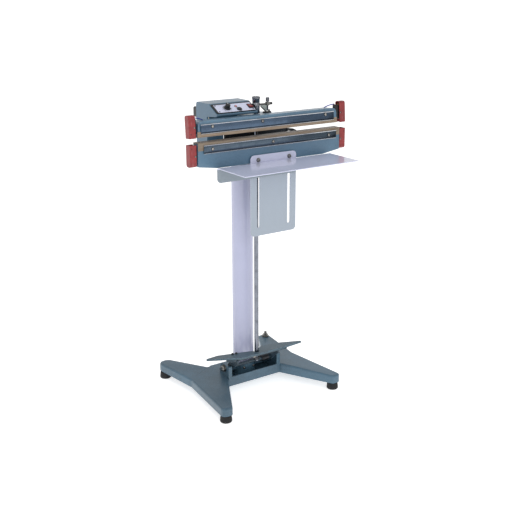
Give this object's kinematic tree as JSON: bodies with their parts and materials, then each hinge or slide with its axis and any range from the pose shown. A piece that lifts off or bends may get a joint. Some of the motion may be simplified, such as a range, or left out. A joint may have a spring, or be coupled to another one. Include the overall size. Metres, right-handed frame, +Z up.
{
  "type": "foot operated impulse heat sealer",
  "caption": "Floor-standing impulse heat sealer: two horizontal jaws on a tubular column, a work tray below them, a control box behind and a foot pedal in the base.",
  "frame": {"origin": "centre of the bounding box at floor level, under the rubber feet", "axes": "+Z up, -Y towards the operator (pedal and tray side), +X to the right of the machine seen from behind the tray, along the jaws"},
  "size_m": [0.56, 0.51, 0.9605],
  "materials": {
    "blue_grey": "satin",
    "base_grey": "satin",
    "lavender": "semi gloss",
    "plate_grey": "semi gloss",
    "black_steel": "satin",
    "chrome": "polished",
    "polished_strip": "polished",
    "zinc": "zinc plated",
    "spring_steel": "bright",
    "non_stick": "coated glass cloth",
    "ribbon": "bright",
    "red_plastic": "satin",
    "black_plastic": "satin",
    "rubber": "matt",
    "panel_film": "printed film",
    "lamp_lens": "clear",
    "circuit_board": "satin",
    "core_steel": "varnished",
    "lead_blue": "satin"
  },
  "bodies": {
    "stand": {"base_box": "base_grey", "base_wing_left": "base_grey", "base_wing_right": "base_grey", "circuit_board": "circuit_board", "column": "lavender", "column_socket": "base_grey", "control_box": "blue_grey", "control_box_cover": "black_steel", "control_panel": "panel_film", "foot_front_left": "rubber", "foot_front_right": "rubber", "foot_rear_left": "rubber", "foot_rear_right": "rubber", "fuse_holder": "black_plastic", "head_frame": "black_steel", "hinge_shaft": "zinc", "indicator_lamp": "lamp_lens", "inlet_gland": "black_plastic", "levelling_stud": "zinc", "lower_clamp_strip": "polished_strip", "lower_end_cover_left": "red_plastic", "lower_end_cover_right": "red_plastic", "lower_heating_ribbon": "ribbon", "lower_jaw_beam": "blue_grey", "lower_ptfe_sheet": "non_stick", "lower_terminal_left": "black_plastic", "lower_terminal_right": "black_plastic", "pedal_return_spring": "spring_steel", "pedal_shaft": "zinc", "plate_bolt_left": "zinc", "plate_bolt_right": "zinc", "shaft_nut_left": "zinc", "shaft_nut_right": "zinc", "slotted_plate": "plate_grey", "transformer": "core_steel"},
    "upper_jaw": {"upper_jaw_arm": "blue_grey", "upper_jaw_beam": "blue_grey", "upper_clamp_strip": "polished_strip", "upper_ptfe_sheet": "non_stick", "upper_heating_ribbon": "ribbon", "upper_terminal_left": "black_plastic", "upper_terminal_right": "black_plastic", "upper_end_cover_left": "red_plastic", "upper_end_cover_right": "red_plastic", "lead_left": "lead_blue", "lead_right": "lead_blue", "micro_switch": "black_plastic"},
    "pedal": {"pedal_plate": "base_grey", "pedal_yoke": "base_grey"},
    "rod": {"pull_rod": "chrome", "rod_nut": "zinc", "spring_barrel": "chrome", "cross_bar": "zinc", "pressure_spring": "spring_steel"},
    "pressure_screw": {"adjusting_screw": "chrome"},
    "work_tray": {"tray": "lavender", "tray_clamp_left": "zinc", "tray_clamp_right": "zinc"},
    "timer": {"timer_knob": "black_plastic"},
    "rocker": {"power_rocker": "red_plastic"}
  },
  "joints": [
    {"name": "upper_jaw_hinge", "type": "hinge", "parent": "stand", "child": "upper_jaw", "pos_m": [0, 0.123, 0.862], "axis": [1, 0, 0], "range_deg": [0, 3.95], "stiffness_Nm_per_rad": 40, "springref_deg": -28.65},
    {"name": "pedal_hinge", "type": "hinge", "parent": "stand", "child": "pedal", "pos_m": [0, 0.023, 0.083], "axis": [1, 0, 0], "range_deg": [0, 14.35]},
    {"name": "pull_rod_slide", "type": "slide", "parent": "stand", "child": "rod", "axis": [0, 0, -1], "range_m": [0, 0.0103]},
    {"name": "pressure_screw_turn", "type": "hinge", "parent": "rod", "child": "pressure_screw", "pos_m": [0.042, -0.014, 0.936], "axis": [0, 0, 1], "range_deg": [-360, 360]},
    {"name": "tray_height", "type": "slide", "parent": "stand", "child": "work_tray", "axis": [0, 0, 1], "range_m": [-0.168, 0]},
    {"name": "timer_knob_turn", "type": "hinge", "parent": "stand", "child": "timer", "pos_m": [-0.109, -0.0231, 0.93315], "axis": [0, -0.4769, 0.879], "range_deg": [-135, 135]},
    {"name": "power_rocker_tilt", "type": "hinge", "parent": "stand", "child": "rocker", "pos_m": [-0.028, -0.02366, 0.93524], "axis": [1, 0, 0], "range_deg": [0, 12]}
  ],
  "couplings": [
    {"joint": "pedal_hinge", "follows": "upper_jaw_hinge", "ratio": 3.62},
    {"joint": "pull_rod_slide", "follows": "upper_jaw_hinge", "m_per_rad": 0.148}
  ]
}
